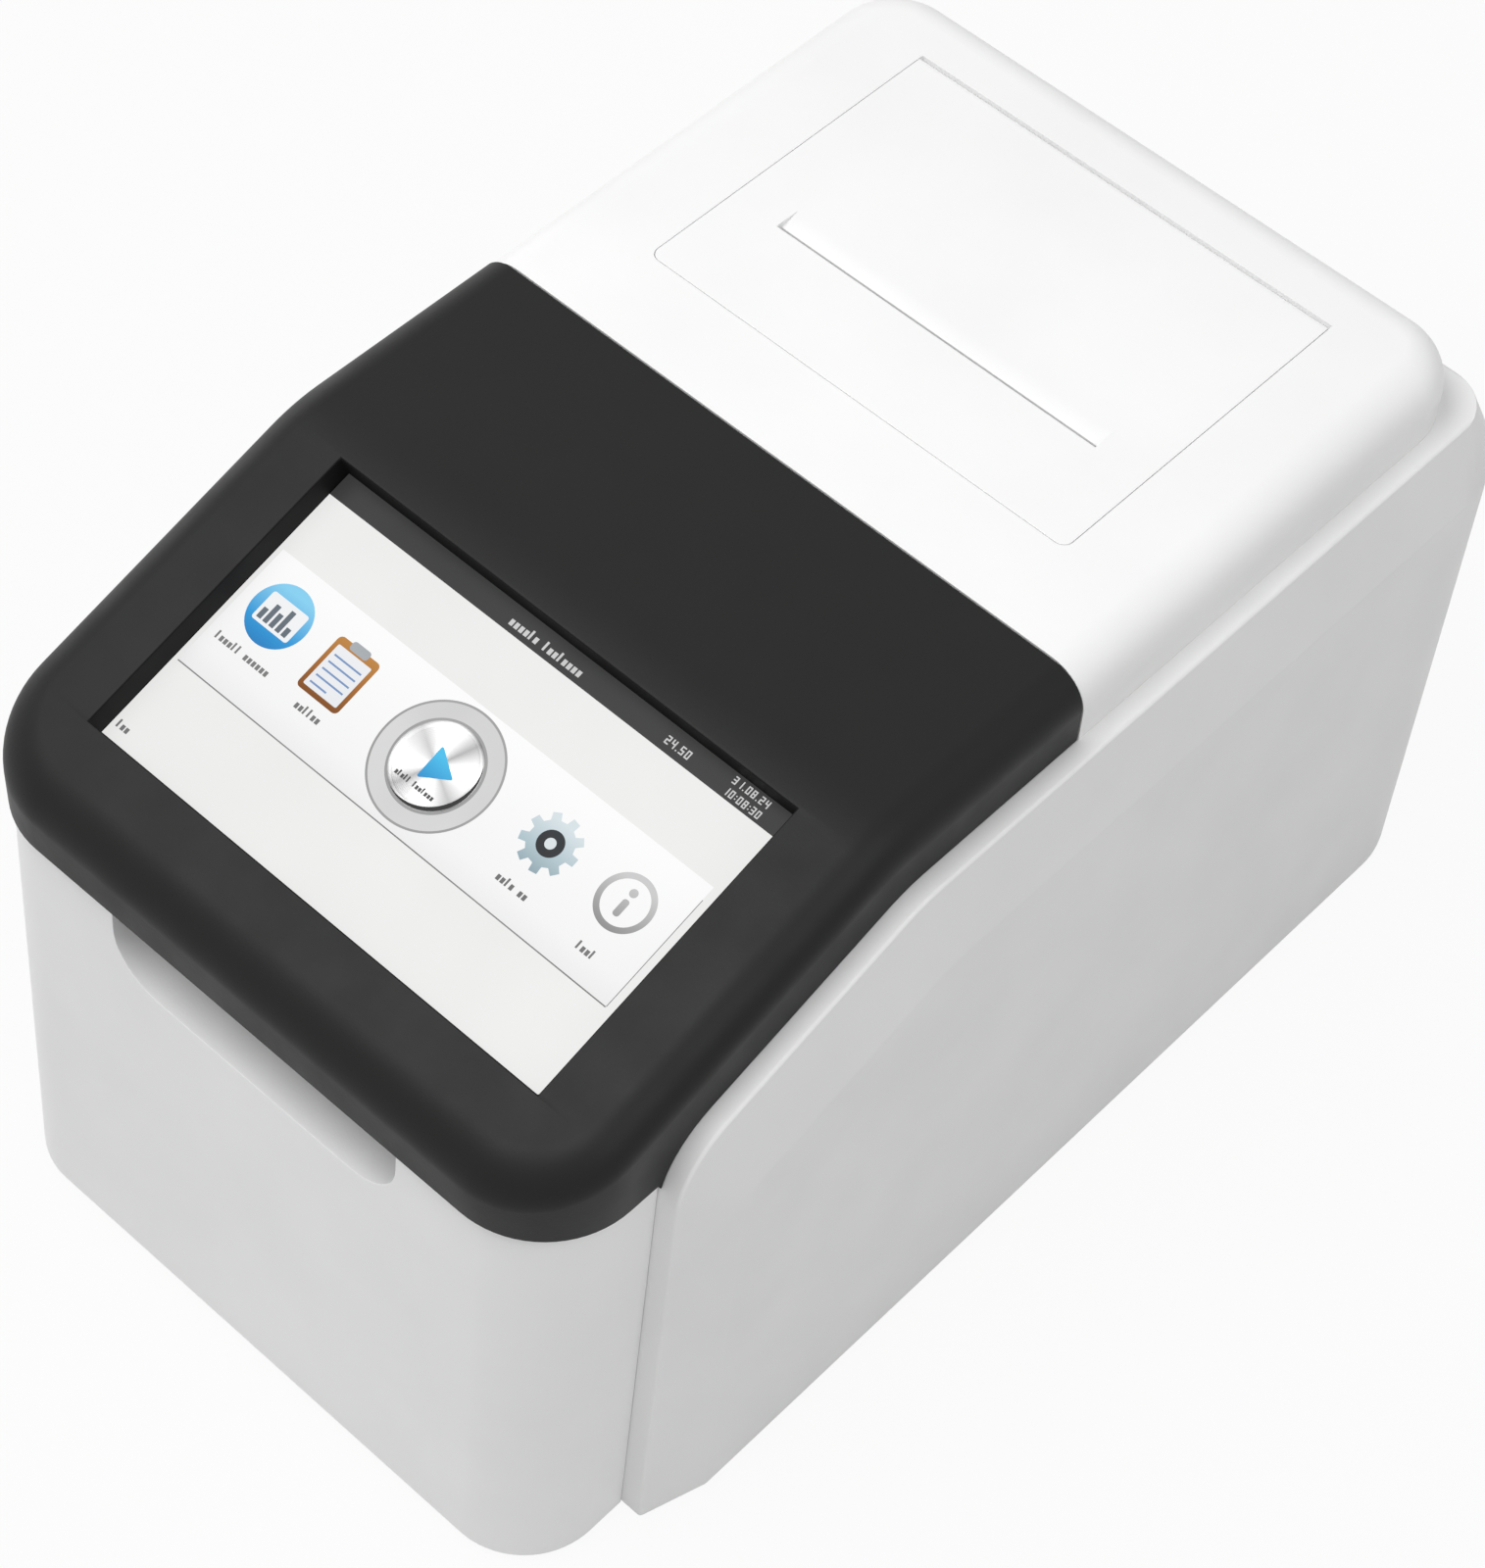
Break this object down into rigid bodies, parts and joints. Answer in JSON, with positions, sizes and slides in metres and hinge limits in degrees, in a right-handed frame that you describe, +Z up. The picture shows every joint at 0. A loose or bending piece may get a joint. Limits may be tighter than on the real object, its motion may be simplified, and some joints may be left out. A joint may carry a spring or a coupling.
{
  "type": "chemistry analyzer",
  "caption": "Desktop chemistry analyzer: recessed touch screen on a sloping black fascia, full-width reagent drawer below it, printer under a hinged door in the white top cover.",
  "frame": {"origin": "on the table, under the middle of the analyzer's outer box", "axes": "+Z up, -Y towards the operator (screen and drawer front), +X to the right when facing -Y's front from the operator's side"},
  "size_m": [0.226, 0.374, 0.213],
  "materials": {
    "white_plastic": "satin moulded",
    "drawer_plastic": "fine matt texture",
    "grey_plastic": "fine matt texture",
    "black_plastic": "fine matt texture",
    "dark_plastic": "moulded",
    "tray_plastic": "moulded",
    "amber_plastic": "natural acetal",
    "circuit_board": "solder mask",
    "paper": "thermal paper",
    "foot_rubber": "matt",
    "screen_glass": "clear, over a dark panel",
    "lens_glass": "polished",
    "zinc_steel": "zinc plated",
    "plated_cast_aluminium": "plain",
    "dark_steel": "powder coat",
    "brass": "machined"
  },
  "bodies": {
    "case": {"case_shell": "grey_plastic", "base_plate": "dark_steel", "foot_front_left": "foot_rubber", "foot_front_right": "foot_rubber", "foot_rear_left": "foot_rubber", "foot_rear_right": "foot_rubber", "base_screw_front_left": "zinc_steel", "base_screw_front_right": "zinc_steel", "base_screw_rear_left": "zinc_steel", "base_screw_rear_right": "zinc_steel", "top_cover": "white_plastic", "front_fascia": "black_plastic", "touch_glass": "screen_glass", "screen_module": "plated_cast_aluminium", "screen_bracket": "dark_steel", "slide_channel_left": "zinc_steel", "slide_channel_right": "zinc_steel", "chassis_plate_left": "zinc_steel", "chassis_plate_right": "zinc_steel", "optics_deck": "zinc_steel", "detector_module": "dark_plastic", "detector_lens": "lens_glass", "lamp_module": "dark_plastic", "lock_solenoid": "dark_steel", "main_board": "circuit_board", "heat_sink": "plated_cast_aluminium", "power_supply": "plated_cast_aluminium", "fan_frame": "dark_plastic", "power_inlet": "dark_plastic", "switch_bezel": "dark_plastic", "port_board": "circuit_board", "usb_port_left": "zinc_steel", "usb_port_right": "zinc_steel", "network_port": "zinc_steel", "port_bracket": "zinc_steel", "printer_tub": "dark_plastic", "printer_frame": "zinc_steel", "thermal_head": "dark_plastic", "printer_motor": "dark_steel", "roll_spindle": "dark_plastic"},
    "drawer": {"drawer_front": "drawer_plastic", "drawer_tray": "tray_plastic", "slide_bar_left": "zinc_steel", "slide_bar_right": "zinc_steel", "spindle_motor": "dark_steel"},
    "turntable": {"spindle_turntable": "amber_plastic"},
    "interlock": {"lock_plunger": "zinc_steel"},
    "printer_lid": {"printer_door": "white_plastic"},
    "platen": {"platen_roller": "foot_rubber", "platen_shaft": "zinc_steel", "platen_gear": "amber_plastic"},
    "pinion": {"printer_pinion": "brass"},
    "paper": {"paper_roll": "paper"},
    "fan": {"fan_rotor": "black_plastic"},
    "rocker": {"switch_rocker": "black_plastic"}
  },
  "joints": [
    {"name": "drawer_slide", "type": "slide", "parent": "case", "child": "drawer", "axis": [0, -1, 0], "range_m": [0, 0.135]},
    {"name": "turntable_spin", "type": "hinge", "parent": "drawer", "child": "turntable", "pos_m": [0, -0.107, 0.108], "axis": [0, 0, 1], "continuous": true},
    {"name": "interlock_slide", "type": "slide", "parent": "case", "child": "interlock", "axis": [0, 0, 1], "range_m": [0, 0.006], "stiffness_N_per_m": 100, "springref_m": -0.003},
    {"name": "printer_door_hinge", "type": "hinge", "parent": "case", "child": "printer_lid", "pos_m": [0, 0.13254, 0.2105], "axis": [-1, 0, 0], "range_deg": [0, 95]},
    {"name": "platen_spin", "type": "hinge", "parent": "case", "child": "platen", "pos_m": [0, 0.06598, 0.192], "axis": [1, 0, 0], "continuous": true},
    {"name": "pinion_spin", "type": "hinge", "parent": "case", "child": "pinion", "pos_m": [0, 0.06598, 0.17585], "axis": [1, 0, 0], "continuous": true},
    {"name": "paper_roll_spin", "type": "hinge", "parent": "case", "child": "paper", "pos_m": [0, 0.10301, 0.17797], "axis": [1, 0, 0], "continuous": true},
    {"name": "fan_spin", "type": "hinge", "parent": "case", "child": "fan", "pos_m": [0.042, 0.176, 0.08], "axis": [0, 1, 0], "continuous": true},
    {"name": "power_switch", "type": "hinge", "parent": "case", "child": "rocker", "pos_m": [-0.01, 0.181, 0.03], "axis": [-1, 0, 0], "range_deg": [0, 20]}
  ],
  "couplings": [
    {"joint": "pinion_spin", "follows": "platen_spin", "ratio": -1.8571}
  ]
}
